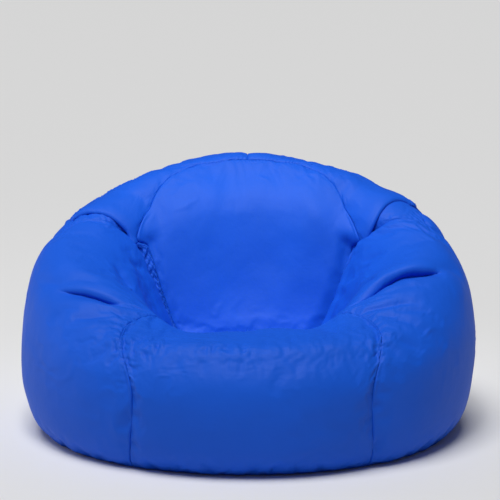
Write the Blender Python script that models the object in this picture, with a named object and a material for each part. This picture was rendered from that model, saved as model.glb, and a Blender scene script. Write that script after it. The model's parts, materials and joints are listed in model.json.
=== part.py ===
"""Bean bag chair with arms, a dished seat and a tall soft back, about 0.9 m wide.

Every layer of the bag lies on one family of nested surfaces. A vertical section through the seat
centre, turned by an angle, runs from the base edge out over the bulge, over the crest and down the
inner wall to the seat. Cover panels, elastic, liner and bead filling are taken from that section at
growing insets, so each size below moves all of them together.

Metres, +Z up. The chair stands on z = 0 and faces -Y. Angle 0 is the front, 90 degrees the +X arm,
180 degrees the back.
"""

import math

import bmesh
import bpy
from mathutils import Vector

# Overall shape
WIDTH = 0.90
DEPTH = 0.82
BACK_HEIGHT = 0.525
FRONT_HEIGHT = 0.250
RISE_POWER = 1.45  # how late the crest climbs from the front roll to the back
BASE_WIDTH = 0.80
BASE_DEPTH = 0.70
BULGE_HEIGHT = 0.15

# Crest line and seat, as ellipses in plan
CREST_WIDTH = 0.66
CREST_DEPTH = 0.48
CREST_Y = -0.005
SEAT_WIDTH = 0.28
SEAT_DEPTH = 0.23
SEAT_Y = -0.065
SEAT_HEIGHT = 0.175
SEAT_DISH = 0.010

# Fullness of the section: 0.55 is round, more is boxier
BASE_ROUND = 0.50
OUTER_ROUND = 0.66
CREST_ROUND = 0.55
SEAT_ROUND = 0.40

# Layers, measured inwards from the cover's outer face
COVER_THICKNESS = 0.0015
ELASTIC_INSET = 0.0023
ELASTIC_THICKNESS = 0.0010
LINER_INSET = 0.0060
LINER_THICKNESS = 0.0010
LAYER_GAP = 0.0015
SEAM_GAP = 0.0005
ROW_GAP = 0.03  # the gap along a row seam, as a share of a row

# Seams, as angles from the front in degrees
FRONT_SEAM_BASE = 43.5
FRONT_SEAM_BULGE = 38.5
FRONT_SEAM_CREST = 54.0
FRONT_SEAM_FOOT = 62.0
SHOULDER_SEAM = 110.0
BACK_SEAM_TOP = 160.0
BACK_SEAM_WAIST = 125.5
BACK_SEAM_FOOT = 128.0
FILL_SPLIT = 50.0
GUSSET_ANGLE = 6.0
ELASTIC_ANGLE = 2.6

# Fold of the wings over the arms
WING_LAP = 1.0  # degrees that the fold reaches in front of the seam under it
WING_FOLD = 0.014  # height of the rolled fold above the arm
WING_GAP = 0.0016

# Rows along the section: base edge, bulge, crest, seat edge
BULGE_ROW = 4
CREST_ROW = 9
SEAT_ROW = 15
TOP_SEAM_ROW = 8
TOP_SEAM_LIFT = 1.5  # rows by which the top seam comes forwards over the back's crest
WAIST_ROW = 11
EXTRA_ROWS = (6.5, 7.5, 8.5, 9.5)

# Columns across each panel
FRONT_COLUMNS = 14
ARM_COLUMNS = 10
BACK_COLUMNS = 9
INNER_BACK_COLUMNS = 16
GUSSET_COLUMNS = 2

# Zips, shared by the cover and the liner. They run along X
CHAIN_HALF_WIDTH = 0.0022
CHAIN_HEIGHT = 0.0026
CHAIN_SPLIT = 0.0014
TAPE_WIDTH = 0.013
TAPE_THICKNESS = 0.0006
TOUCH_GAP = 0.0003
HEM_WIDTH = 0.010
SLOT_WIDTH = 0.012
SLIDER_LENGTH = 0.011
SLIDER_WIDTH = 0.0094
SLIDER_WALL = 0.0009
SLIDER_POST = 0.0008
SLIDER_LIP = 0.0006
LUG_LENGTH = 0.0050
LUG_WIDTH = 0.0020
LUG_HEIGHT = 0.0018
LUG_HOLE = 0.0005
STOP_LENGTH = 0.0030
RUN_CLEARANCE = 0.0004
COVER_ZIP_LENGTH = 0.60
COVER_ZIP_Y = 0.05
LINER_ZIP_LENGTH = 0.50
LINER_ZIP_Y = 0.10

# Heights worked out from the layers
ZIP_HEIGHT = LUG_HEIGHT + SLIDER_WALL + RUN_CLEARANCE + CHAIN_HEIGHT / 2 + 2 * TOUCH_GAP
SLIDER_HALF_HEIGHT = CHAIN_HEIGHT / 2 + RUN_CLEARANCE + SLIDER_WALL
LINER_FLOOR = ZIP_HEIGHT + SLIDER_HALF_HEIGHT + LAYER_GAP
FILL_INSET = LINER_INSET + LINER_THICKNESS + LAYER_GAP
FILL_FLOOR = LINER_FLOOR + ZIP_HEIGHT + SLIDER_HALF_HEIGHT + LAYER_GAP


def clear_scene():
    for obj in list(bpy.data.objects):
        bpy.data.objects.remove(obj, do_unlink=True)


def make_material(name, colour, roughness, metallic=0.0):
    material = bpy.data.materials.new(name)
    material.use_nodes = True
    shader = material.node_tree.nodes["Principled BSDF"]
    shader.inputs["Base Color"].default_value = (*colour, 1.0)
    shader.inputs["Roughness"].default_value = roughness
    shader.inputs["Metallic"].default_value = metallic
    return material


def add_object(name, bm, material, smooth=True):
    bmesh.ops.recalc_face_normals(bm, faces=bm.faces)
    mesh = bpy.data.meshes.new(name)
    bm.to_mesh(mesh)
    bm.free()
    if smooth:
        mesh.shade_smooth()
        mesh.set_sharp_from_angle(angle=math.radians(40))
    mesh.materials.append(material)
    obj = bpy.data.objects.new(name, mesh)
    bpy.context.scene.collection.objects.link(obj)
    return obj


# ---- the section ----


def reach(angle, width, depth, centre_y):
    """Distance from the seat centre to an ellipse in plan, in the direction of angle."""
    direction = Vector((math.sin(math.radians(angle)), -math.cos(math.radians(angle))))
    offset = SEAT_Y - centre_y
    a, b = width / 2, depth / 2
    p = (direction.x / a) ** 2 + (direction.y / b) ** 2
    q = offset * direction.y / b**2
    r = (offset / b) ** 2 - 1
    return (-q + math.sqrt(q * q - p * r)) / p


def crest_height(angle):
    turned = (1 - math.cos(math.radians(angle))) / 2
    return FRONT_HEIGHT + (BACK_HEIGHT - FRONT_HEIGHT) * turned**RISE_POWER


def section_curves(angle):
    """Three Bezier curves of (distance, height): base to bulge, to crest, to seat edge."""
    base = reach(angle, BASE_WIDTH, BASE_DEPTH, 0)
    bulge = reach(angle, WIDTH, DEPTH, 0)
    crest = reach(angle, CREST_WIDTH, CREST_DEPTH, CREST_Y)
    seat = reach(angle, SEAT_WIDTH, SEAT_DEPTH, SEAT_Y)
    top = crest_height(angle)
    middle = BULGE_HEIGHT * (top / FRONT_HEIGHT) ** 0.35
    rise = top - middle
    return (
        (
            (base, 0),
            (base + BASE_ROUND * (bulge - base), 0),
            (bulge, middle * (1 - BASE_ROUND)),
            (bulge, middle),
        ),
        (
            (bulge, middle),
            (bulge, middle + OUTER_ROUND * rise),
            (crest + OUTER_ROUND * (bulge - crest), top),
            (crest, top),
        ),
        (
            (crest, top),
            (crest - CREST_ROUND * (crest - seat), top),
            (seat + SEAT_ROUND * (crest - seat), SEAT_HEIGHT),
            (seat, SEAT_HEIGHT),
        ),
    )


def bezier(points, t):
    """Point and direction of a cubic Bezier curve in the plane."""
    p0, p1, p2, p3 = (Vector(p) for p in points)
    s = 1 - t
    place = s**3 * p0 + 3 * s * s * t * p1 + 3 * s * t * t * p2 + t**3 * p3
    slope = s * s * (p1 - p0) + 2 * s * t * (p2 - p1) + t * t * (p3 - p2)
    return place, slope.normalized()


def smoothstep(low, high, value):
    t = min(1.0, max(0.0, (value - low) / (high - low)))
    return t * t * (3 - 2 * t)


def drawn_row(angle, row):
    """The rows crowd towards the seat at the back, so that the top seam lies in front of the crest."""
    below = (row - BULGE_ROW) / (TOP_SEAM_ROW - BULGE_ROW)
    above = (WAIST_ROW - row) / (WAIST_ROW - TOP_SEAM_ROW)
    share = min(below, above)
    turn = abs((angle + 180) % 360 - 180)
    return row + TOP_SEAM_LIFT * min(1.0, max(0.0, share)) * smoothstep(125, 168, turn)


def section_point(angle, row, inset=0.0, floor=0.0):
    """A point of the section at a row, moved inwards by inset and lifted clear of floor."""
    curves = section_curves(angle)
    nominal, row = row, drawn_row(angle, row)
    if row <= BULGE_ROW:
        place, slope = bezier(curves[0], row / BULGE_ROW)
    elif row <= CREST_ROW:
        place, slope = bezier(curves[1], (row - BULGE_ROW) / (CREST_ROW - BULGE_ROW))
    else:
        place, slope = bezier(curves[2], (row - CREST_ROW) / (SEAT_ROW - CREST_ROW))
    place = place + Vector((-slope.y, slope.x)) * inset
    if nominal < BULGE_ROW:
        place.y += max(0, floor - inset) * (1 - nominal / BULGE_ROW)
    return plan_point(angle, place.x, place.y)


def plan_point(angle, distance, height):
    turn = math.radians(angle)
    return Vector((distance * math.sin(turn), SEAT_Y - distance * math.cos(turn), height))


def spread(first, last, count):
    return [first + (last - first) * k / count for k in range(count + 1)]


def seam_turn(distance):
    """The angle that half a seam gap takes at a distance from the seat centre."""
    return math.degrees(SEAM_GAP / 2 / distance)


# ---- seam lines ----


def back_seam(row):
    """Angle of the seam beside the inner back panel."""
    if row <= WAIST_ROW:
        share = (WAIST_ROW - row) / (WAIST_ROW - TOP_SEAM_ROW)
        return BACK_SEAM_WAIST + (BACK_SEAM_TOP - BACK_SEAM_WAIST) * share**1.15
    share = (row - WAIST_ROW) / (SEAT_ROW - WAIST_ROW)
    return BACK_SEAM_WAIST + (BACK_SEAM_FOOT - BACK_SEAM_WAIST) * share**2


def front_seam(row):
    """Angle of the seam between the front panel and the arm, upright seen from the front."""
    marks = (
        (0, FRONT_SEAM_BASE),
        (BULGE_ROW, FRONT_SEAM_BULGE),
        (CREST_ROW, FRONT_SEAM_CREST),
        (SEAT_ROW, FRONT_SEAM_FOOT),
    )
    for (row0, angle0), (row1, angle1) in zip(marks, marks[1:]):
        if row <= row1:
            share = (row - row0) / (row1 - row0)
            return angle0 + (angle1 - angle0) * share * share * (3 - 2 * share)
    return FRONT_SEAM_FOOT


def gusset_front(row):
    return back_seam(row) - GUSSET_ANGLE


def arm_rear(row):
    """Angle where the arm panel ends: the shoulder seam outside, the gusset inside."""
    if row <= TOP_SEAM_ROW:
        return SHOULDER_SEAM
    if row >= WAIST_ROW:
        return gusset_front(row)
    share = (row - TOP_SEAM_ROW) / (WAIST_ROW - TOP_SEAM_ROW)
    return SHOULDER_SEAM + (gusset_front(WAIST_ROW) - SHOULDER_SEAM) * share


# ---- sewn panels ----


def all_rows(first=0, last=SEAT_ROW):
    """Rows from first to last, closer together over the crest."""
    whole = [float(row) for row in range(first, last + 1)]
    return sorted(whole + [row for row in EXTRA_ROWS if first < row < last])


def rows_between(first, last):
    """Rows of the section, drawn in at the ends, where a panel meets another on uneven columns."""
    rows = all_rows(first, last)
    rows[0] += ROW_GAP
    rows[-1] -= ROW_GAP
    return rows


def shell(name, material, rows, columns, outer, inner, side=1):
    """A closed sheet between two insets. columns(row) lists angles; the insets may be per column."""
    bm = bmesh.new()
    count = len(columns(rows[0]))
    outer = outer if isinstance(outer, list) else [outer] * count
    inner = inner if isinstance(inner, list) else [inner] * count
    grids = []
    for insets in (outer, inner):
        grids.append(
            [
                [
                    bm.verts.new(section_point(side * angle, row, inset))
                    for angle, inset in zip(columns(row), insets)
                ]
                for row in rows
            ]
        )
    skin_between(bm, *grids)
    return add_object(name, bm, material)


def skin_between(bm, top, bottom):
    """Faces of a closed slab between two grids of vertices."""
    high, wide = len(top) - 1, len(top[0]) - 1
    for grid in (top, bottom):
        for i in range(high):
            for j in range(wide):
                bm.faces.new((grid[i][j], grid[i + 1][j], grid[i + 1][j + 1], grid[i][j + 1]))
    for i in range(high):
        for j in (0, wide):
            bm.faces.new((top[i][j], top[i + 1][j], bottom[i + 1][j], bottom[i][j]))
    for j in range(wide):
        for i in (0, high):
            bm.faces.new((top[i][j], top[i][j + 1], bottom[i][j + 1], bottom[i][j]))


def between(first, last, count):
    """Columns from one seam function to another, each drawn in by half a seam gap."""

    def columns(row):
        gap = seam_turn(WIDTH / 4)
        return spread(first(row) + gap, last(row) - gap, count)

    return columns


def build_front_panel(cover):
    columns = between(lambda row: -front_seam(row), front_seam, FRONT_COLUMNS)
    rows = rows_between(0, SEAT_ROW)
    shell("front_panel", cover, rows, columns, 0, COVER_THICKNESS)


def build_inner_back_panel(cover):
    columns = between(back_seam, lambda row: 360 - back_seam(row), INNER_BACK_COLUMNS)
    rows = rows_between(TOP_SEAM_ROW, SEAT_ROW)
    shell("inner_back_panel", cover, rows, columns, 0, COVER_THICKNESS)


def build_arm_panel(name, side, cover):
    columns = between(front_seam, arm_rear, ARM_COLUMNS)
    shell(name, cover, rows_between(0, SEAT_ROW), columns, 0, COVER_THICKNESS, side)


def build_outer_back_panel(name, side, cover):
    columns = between(lambda row: SHOULDER_SEAM, lambda row: 180, BACK_COLUMNS)
    rows = rows_between(0, TOP_SEAM_ROW)
    shell(name, cover, rows, columns, 0, COVER_THICKNESS, side)


def build_wing_panel(name, side, cover):
    """The upper back's side, folded forwards over the rear of the arm."""
    folds = [1.0, 0.9, 0.65, 0.35, 0.12]
    flat_columns = 3

    def columns(row):
        gap = seam_turn(WIDTH / 4)
        rear, seam = arm_rear(row), back_seam(row) - gap
        start = rear + 2.5
        count = len(folds) - 3 + flat_columns
        rest = [start + (seam - start) * k / count for k in range(count + 1)]
        return [rear - WING_LAP, rear + 0.5, *rest]

    rows = rows_between(TOP_SEAM_ROW, WAIST_ROW)
    flats = [0.0] * flat_columns
    outer = [-WING_GAP - COVER_THICKNESS - WING_FOLD * f for f in folds] + flats
    inner = [-WING_GAP, -WING_GAP] + [COVER_THICKNESS] * (len(outer) - 2)
    shell(name, cover, rows, columns, outer, inner, side)


def build_gusset(name, side, cover):
    """The gathered strip between the arm and the inner back panel."""
    columns = between(gusset_front, back_seam, GUSSET_COLUMNS)
    rows = rows_between(WAIST_ROW, SEAT_ROW)
    shell(name, cover, rows, columns, 0, COVER_THICKNESS, side)


def build_elastic(name, side, elastic):
    """Elastic tape behind the seam that gathers the gusset."""

    def columns(row):
        centre = back_seam(row) - GUSSET_ANGLE / 2
        return [centre - ELASTIC_ANGLE / 2, centre, centre + ELASTIC_ANGLE / 2]

    rows = rows_between(WAIST_ROW, SEAT_ROW)
    inner = ELASTIC_INSET + ELASTIC_THICKNESS
    shell(name, elastic, rows, columns, ELASTIC_INSET, inner, side)


# ---- seat, base and liner ----


def seat_height(share):
    """Height of the seat at a share of the way from its centre to its edge."""
    return SEAT_HEIGHT - SEAT_DISH * (1 - share * share)


def seat_ring(share, inset, edge_gap=0.0):
    height = seat_height(share) - inset
    points = []
    for angle in ring_angles():
        distance = share * (reach(angle, SEAT_WIDTH, SEAT_DEPTH, SEAT_Y) - edge_gap)
        points.append(plan_point(angle, distance, height))
    return points


def disc_faces(bm, rings, centre):
    """Faces of a disc from its outer ring of vertices to a centre vertex."""
    count = len(rings[0])
    for outside, inside in zip(rings, rings[1:]):
        for j in range(count):
            k = (j + 1) % count
            bm.faces.new((outside[j], outside[k], inside[k], inside[j]))
    for j in range(count):
        bm.faces.new((rings[-1][j], rings[-1][(j + 1) % count], centre))


def build_seat_panel(cover):
    bm = bmesh.new()
    sides = []
    for inset in (0, COVER_THICKNESS):
        rings = [
            [bm.verts.new(p) for p in seat_ring(share, inset, SEAM_GAP)]
            for share in (1.0, 0.7, 0.35)
        ]
        centre = bm.verts.new(plan_point(0, 0, seat_height(0) - inset))
        disc_faces(bm, rings, centre)
        sides.append(rings[0])
    count = len(sides[0])
    for j in range(count):
        k = (j + 1) % count
        bm.faces.new((sides[0][j], sides[0][k], sides[1][k], sides[1][j]))
    add_object("seat_panel", bm, cover)


def ring_angles():
    """Angles right round the chair that fall on the base ends of the vertical seams."""
    half = spread(0, FRONT_SEAM_BASE, FRONT_COLUMNS // 2)
    half += spread(FRONT_SEAM_BASE, SHOULDER_SEAM, ARM_COLUMNS)[1:]
    half += spread(SHOULDER_SEAM, 180, BACK_COLUMNS)[1:]
    return half + [360 - a for a in reversed(half[1:-1])]


def base_outline(side, inset, zip_y, zip_length):
    """Half of the base, cut straight along the zip and notched for its slot."""
    ring = [plan_point(a, reach(a, BASE_WIDTH, BASE_DEPTH, 0) - inset, 0) for a in ring_angles()]
    edge_y = zip_y + side * SEAM_GAP / 2
    notch_y = zip_y + side * SLOT_WIDTH / 2
    half = -side * zip_length / 2
    points = []
    for here, there in zip(ring, ring[1:] + ring[:1]):
        if side * (here.y - edge_y) > 0:
            points.append((here.x, here.y))
        if (here.y - edge_y) * (there.y - edge_y) < 0:
            cut = here.lerp(there, (edge_y - here.y) / (there.y - here.y))
            points.append((cut.x, edge_y))
            if cut.x * half > 0:
                points += [(half, edge_y), (half, notch_y), (-half, notch_y), (-half, edge_y)]
    return points


def prism(name, outline, bottom, top, material, smooth=False):
    """A flat plate of a given outline between two heights."""
    bm = bmesh.new()
    face = bm.faces.new([bm.verts.new((x, y, bottom)) for x, y in outline])
    made = bmesh.ops.extrude_face_region(bm, geom=[face])
    lifted = [v for v in made["geom"] if isinstance(v, bmesh.types.BMVert)]
    bmesh.ops.translate(bm, vec=(0, 0, top - bottom), verts=lifted)
    return add_object(name, bm, material, smooth)


def join(target, helper, operation="UNION"):
    """A Boolean that keeps its helper out of the build."""
    modifier = target.modifiers.new(operation.title() + "_" + helper.name, "BOOLEAN")
    modifier.operation = operation
    modifier.solver = "EXACT"
    modifier.object = helper
    helper.hide_render = True
    helper.display_type = "WIRE"


def rectangle(x0, x1, y0, y1):
    return [(x0, y0), (x1, y0), (x1, y1), (x0, y1)]


def build_base_panels(prefix, material, inset, floor, thickness, zip_y, zip_length):
    """The two halves of a base, each with a folded hem beside the zip."""
    for side, word in ((-1, "front"), (1, "rear")):
        name = f"{prefix}_{word}"
        outline = base_outline(side, inset, zip_y, zip_length)
        panel = prism(name, outline, floor, floor + thickness, material)
        near = zip_y + side * SLOT_WIDTH / 2
        far = near + side * HEM_WIDTH
        hem = rectangle(-zip_length / 2, zip_length / 2, min(near, far), max(near, far))
        top = floor + ZIP_HEIGHT - TAPE_THICKNESS / 2 - TOUCH_GAP
        ridge = prism(f"{name}_hem", hem, floor + thickness / 2, top, material)
        join(panel, ridge)


def build_liner_shell(liner):
    """The liner's side and seat in one bowl, open underneath where its base is sewn in."""
    bm = bmesh.new()
    angles = ring_angles()
    grids = []
    for inset in (LINER_INSET, LINER_INSET + LINER_THICKNESS):
        rings = [
            [bm.verts.new(section_point(a, row, inset, LINER_FLOOR)) for a in angles]
            for row in all_rows()
        ]
        sink = SEAT_HEIGHT - rings[-1][0].co.z
        rings += [
            [bm.verts.new(p) for p in seat_ring(share, sink)] for share in (0.7, 0.35)
        ]
        centre = bm.verts.new(plan_point(0, 0, seat_height(0) - sink))
        disc_faces(bm, rings, centre)
        grids.append(rings[0])
    for j in range(len(angles)):
        k = (j + 1) % len(angles)
        bm.faces.new((grids[0][j], grids[0][k], grids[1][k], grids[1][j]))
    add_object("liner_shell", bm, liner)


# ---- bead filling ----


def build_ring_fill(name, first, last, count, beads):
    """The beads under one stretch of the rim, from the floor of the liner to its skin."""
    bm = bmesh.new()
    gap = math.degrees(LAYER_GAP / 2 / 0.3)
    angles = spread(first + gap, last - gap, count)
    loops = []
    for angle in angles:
        points = [section_point(angle, row, FILL_INSET, FILL_FLOOR) for row in all_rows()]
        seat = reach(angle, SEAT_WIDTH, SEAT_DEPTH, SEAT_Y)
        points.append(plan_point(angle, seat, FILL_FLOOR))
        loops.append([bm.verts.new(p) for p in points])
    size = len(loops[0])
    for here, there in zip(loops, loops[1:]):
        for j in range(size):
            k = (j + 1) % size
            bm.faces.new((here[j], here[k], there[k], there[j]))
    bm.faces.new(loops[0])
    bm.faces.new(loops[-1])
    bmesh.ops.triangulate(bm, faces=[f for f in bm.faces if len(f.verts) > 4])
    add_object(name, bm, beads)


def build_seat_fill(beads):
    bm = bmesh.new()
    tops = section_point(0, SEAT_ROW, FILL_INSET, FILL_FLOOR).z
    sink = SEAT_HEIGHT - tops
    rings = [
        [bm.verts.new(p) for p in seat_ring(share, sink, LAYER_GAP)]
        for share in (1.0, 0.5)
    ]
    centre = bm.verts.new(plan_point(0, 0, seat_height(0) - sink))
    disc_faces(bm, rings, centre)
    bottom = [bm.verts.new((v.co.x, v.co.y, FILL_FLOOR)) for v in rings[0]]
    count = len(bottom)
    for j in range(count):
        k = (j + 1) % count
        bm.faces.new((rings[0][j], rings[0][k], bottom[k], bottom[j]))
    bm.faces.new(bottom)
    add_object("bead_fill_seat", bm, beads)


# ---- zips ----


def mirrored_outline(points):
    """A closed outline from its +Y half, given top to bottom."""
    return points + [(-y, z) for y, z in reversed(points)]


def bar_along_x(name, outline, length, material):
    """An outline in Y and Z, drawn out along X about its middle."""
    bm = bmesh.new()
    face = bm.faces.new([bm.verts.new((-length / 2, y, z)) for y, z in outline])
    made = bmesh.ops.extrude_face_region(bm, geom=[face])
    moved = [v for v in made["geom"] if isinstance(v, bmesh.types.BMVert)]
    bmesh.ops.translate(bm, vec=(length, 0, 0), verts=moved)
    return add_object(name, bm, material, smooth=False)


def build_slider(name, metal):
    """Zip slider with no pull tab: two plates on a post, lips for the tape, and a tool lug."""
    plate = CHAIN_HEIGHT / 2 + RUN_CLEARANCE
    half = SLIDER_WIDTH / 2
    lip = TAPE_THICKNESS / 2 + RUN_CLEARANCE
    upper = [
        (half, plate + SLIDER_WALL),
        (half, lip),
        (half - SLIDER_LIP, lip),
        (half - SLIDER_LIP, plate),
        (SLIDER_POST / 2, plate),
    ]
    lower = [(y, -z) for y, z in reversed(upper)]
    body = bar_along_x(name, mirrored_outline(upper + lower), SLIDER_LENGTH, metal)
    bottom = -plate - SLIDER_WALL
    lug_outline = [
        (-LUG_WIDTH / 2, bottom + SLIDER_WALL / 2),
        (LUG_WIDTH / 2, bottom + SLIDER_WALL / 2),
        (LUG_WIDTH / 2, bottom - LUG_HEIGHT),
        (-LUG_WIDTH / 2, bottom - LUG_HEIGHT),
    ]
    lug = bar_along_x(f"{name}_lug", lug_outline, LUG_LENGTH, metal)
    join(body, lug)
    bpy.ops.mesh.primitive_cylinder_add(
        vertices=12,
        radius=LUG_HOLE,
        depth=2 * LUG_WIDTH,
        location=(0, 0, bottom - LUG_HEIGHT / 2),
        rotation=(math.radians(90), 0, 0),
    )
    hole = bpy.context.object
    hole.name = f"{name}_lug_hole"
    join(body, hole, "DIFFERENCE")
    for helper in (lug, hole):
        helper.parent = body
    return body


def build_zip(prefix, y, height, length, tape, coil, metal):
    """Two tapes, two halves of the coil, an end stop each way and a slider at the closed end."""
    chain_length = length - 2 * (STOP_LENGTH + TOUCH_GAP)
    inner = CHAIN_SPLIT / 2
    outer = inner + CHAIN_HALF_WIDTH
    for side, word in ((-1, "front"), (1, "rear")):
        strips = (
            ("coil", inner, outer, CHAIN_HEIGHT, chain_length, coil),
            ("tape", outer + TOUCH_GAP, outer + TOUCH_GAP + TAPE_WIDTH, TAPE_THICKNESS, length, tape),
        )
        for what, near, far, thick, long, material in strips:
            outline = rectangle(side * near, side * far, -thick / 2, thick / 2)
            bar = bar_along_x(f"{prefix}_{what}_{word}", outline, long, material)
            bar.location = (0, y, height)
    for side, word in ((-1, "left"), (1, "right")):
        outline = rectangle(-outer, outer, -CHAIN_HEIGHT / 2, CHAIN_HEIGHT / 2)
        stop = bar_along_x(f"{prefix}_stop_{word}", outline, STOP_LENGTH, metal)
        stop.location = (side * (length - STOP_LENGTH) / 2, y, height)
    slider = build_slider(f"{prefix}_slider", metal)
    at_stop = chain_length / 2 - SLIDER_LENGTH / 2 - RUN_CLEARANCE
    slider.location = (at_stop, y, height)


def build_cover(cover):
    build_front_panel(cover)
    build_seat_panel(cover)
    build_inner_back_panel(cover)
    for side, word in ((-1, "left"), (1, "right")):
        build_arm_panel(f"{word}_arm_panel", side, cover)
        build_wing_panel(f"{word}_wing_panel", side, cover)
        build_gusset(f"{word}_back_gusset", side, cover)
        build_outer_back_panel(f"outer_back_{word}_panel", side, cover)
    build_base_panels(
        "base_panel", cover, SEAM_GAP, 0, COVER_THICKNESS, COVER_ZIP_Y, COVER_ZIP_LENGTH
    )


def build_liner(liner):
    build_liner_shell(liner)
    inset = LINER_INSET + LINER_THICKNESS + SEAM_GAP
    build_base_panels(
        "liner_base", liner, inset, LINER_FLOOR, LINER_THICKNESS, LINER_ZIP_Y, LINER_ZIP_LENGTH
    )


def build_filling(beads):
    build_ring_fill("bead_fill_front", -FILL_SPLIT, FILL_SPLIT, FRONT_COLUMNS, beads)
    build_ring_fill("bead_fill_right_arm", FILL_SPLIT, SHOULDER_SEAM, ARM_COLUMNS, beads)
    build_ring_fill("bead_fill_left_arm", -SHOULDER_SEAM, -FILL_SPLIT, ARM_COLUMNS, beads)
    rear = 360 - SHOULDER_SEAM
    build_ring_fill("bead_fill_back", SHOULDER_SEAM, rear, 2 * BACK_COLUMNS, beads)
    build_seat_fill(beads)


def main():
    clear_scene()
    cover = make_material("cover_fabric", (0.022, 0.105, 0.56), 0.55)
    liner = make_material("liner_fabric", (0.82, 0.82, 0.80), 0.85)
    beads = make_material("polystyrene_beads", (0.90, 0.90, 0.89), 0.80)
    elastic = make_material("white_elastic", (0.80, 0.80, 0.78), 0.80)
    tape = make_material("zip_tape", (0.018, 0.080, 0.42), 0.80)
    coil = make_material("zip_coil", (0.016, 0.070, 0.38), 0.40)
    metal = make_material("zip_metal", (0.45, 0.45, 0.47), 0.35, metallic=1.0)

    build_cover(cover)
    for side, word in ((-1, "left"), (1, "right")):
        build_elastic(f"{word}_back_elastic", side, elastic)
    build_liner(liner)
    build_filling(beads)
    build_zip("cover_zip", COVER_ZIP_Y, ZIP_HEIGHT, COVER_ZIP_LENGTH, tape, coil, metal)
    height = LINER_FLOOR + ZIP_HEIGHT
    build_zip("liner_zip", LINER_ZIP_Y, height, LINER_ZIP_LENGTH, tape, coil, metal)


main()
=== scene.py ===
"""Looks of the bean bag chair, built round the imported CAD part.

The cover is one fine grid laid over the chair's smooth surface. Its columns run from the base over
the rim to the seat and follow the seams. The grid is pushed in and out for the stuffing and the
seams, settled by one cloth simulation, wrinkled, creased and folded at the wings, and then cut into
the sewn panels. The liner and the filling follow the same grid without its wrinkles.

Places on the chair are (angle, row) marks: the angle in degrees round the seat, 0 at the front and
positive on the right, and the row from the base over the rim to the middle of the seat.
"""

import json
import math

import bpy
import numpy as np
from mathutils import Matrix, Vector

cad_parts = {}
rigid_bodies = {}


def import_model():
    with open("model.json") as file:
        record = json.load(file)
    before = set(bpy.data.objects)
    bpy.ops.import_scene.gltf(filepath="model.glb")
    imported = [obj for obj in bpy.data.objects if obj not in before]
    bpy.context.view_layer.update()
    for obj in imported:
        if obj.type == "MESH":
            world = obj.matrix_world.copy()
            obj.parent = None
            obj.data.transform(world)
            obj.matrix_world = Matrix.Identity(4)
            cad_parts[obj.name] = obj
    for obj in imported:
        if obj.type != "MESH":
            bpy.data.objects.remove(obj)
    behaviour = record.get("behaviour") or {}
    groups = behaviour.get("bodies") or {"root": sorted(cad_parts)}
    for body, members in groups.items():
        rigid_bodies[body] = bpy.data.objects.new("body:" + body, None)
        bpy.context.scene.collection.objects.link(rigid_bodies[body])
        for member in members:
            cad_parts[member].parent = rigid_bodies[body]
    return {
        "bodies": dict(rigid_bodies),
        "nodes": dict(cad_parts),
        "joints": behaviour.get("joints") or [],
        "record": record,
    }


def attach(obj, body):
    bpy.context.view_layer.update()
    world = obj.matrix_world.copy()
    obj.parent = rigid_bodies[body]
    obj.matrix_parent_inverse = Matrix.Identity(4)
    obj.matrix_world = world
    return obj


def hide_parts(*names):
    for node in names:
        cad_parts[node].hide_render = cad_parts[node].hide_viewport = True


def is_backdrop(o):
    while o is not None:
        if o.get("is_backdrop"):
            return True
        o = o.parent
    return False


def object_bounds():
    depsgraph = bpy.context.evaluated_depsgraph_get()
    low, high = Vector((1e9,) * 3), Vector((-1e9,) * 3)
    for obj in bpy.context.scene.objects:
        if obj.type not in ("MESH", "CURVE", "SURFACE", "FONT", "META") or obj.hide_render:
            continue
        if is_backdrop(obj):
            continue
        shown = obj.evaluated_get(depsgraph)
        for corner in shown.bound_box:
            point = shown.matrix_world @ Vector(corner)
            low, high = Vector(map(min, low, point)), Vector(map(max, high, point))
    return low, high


# The chair's section, as in the CAD part, in metres and degrees
WIDTH, DEPTH = 0.90, 0.82
BACK_HEIGHT, FRONT_HEIGHT, RISE_POWER = 0.525, 0.250, 1.45
BASE_WIDTH, BASE_DEPTH, BULGE_HEIGHT = 0.80, 0.70, 0.15
CREST_WIDTH, CREST_DEPTH, CREST_Y = 0.66, 0.48, -0.005
SEAT_WIDTH, SEAT_DEPTH, SEAT_Y = 0.28, 0.23, -0.065
SEAT_HEIGHT, SEAT_DISH = 0.175, 0.010
BASE_ROUND, OUTER_ROUND, CREST_ROUND, SEAT_ROUND = 0.50, 0.66, 0.55, 0.40
BULGE_ROW, TOP_SEAM_ROW, CREST_ROW, WAIST_ROW, SEAT_ROW = 4, 8, 9, 11, 15
LAST_ROW = 18
TOP_SEAM_LIFT = 1.5
SHOULDER_SEAM = 110.0
BACK_SEAM_TOP, BACK_SEAM_WAIST, BACK_SEAM_FOOT = 160.0, 125.5, 128.0
GUSSET_ANGLE = 6.0

# The front seams as (row, angle), and the degrees by which the slack cover has slipped, right, left
FRONT_SEAM_MARKS = ((0, 43.5), (4, 38.5), (9, 54.0), (15, 62.0))
FRONT_SLIP = (0.0, 3.4)

# Sharp lines as (marks, size): the gaps beside the arms, and the slits across the arms
RIGHT_GAP = (122.5, 10.0), (124, 11.2), (124.3, 12.3), (124.8, 13.2), (125.6, 14.2), (126.4, 15.1)
LEFT_GAP = (
    (-118, 10.4), (-119, 11.3), (-119.3, 12.3), (-119.8, 13.2), (-120.6, 14.2), (-121.4, 15.1)
)
ARM_GAPS = ((RIGHT_GAP, 1.9), (LEFT_GAP, 1.05))
SLITS = (
    (((-79, 7.0), (-75.5, 7.5), (-70.5, 8.1), (-65, 8.5), (-60, 8.7)), 0.85),
    (((58, 10.7), (66, 10.1), (74, 9.47), (80, 8.9), (82.5, 8.33), (84.5, 7.7), (85, 7.3)), 1.15),
)

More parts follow.
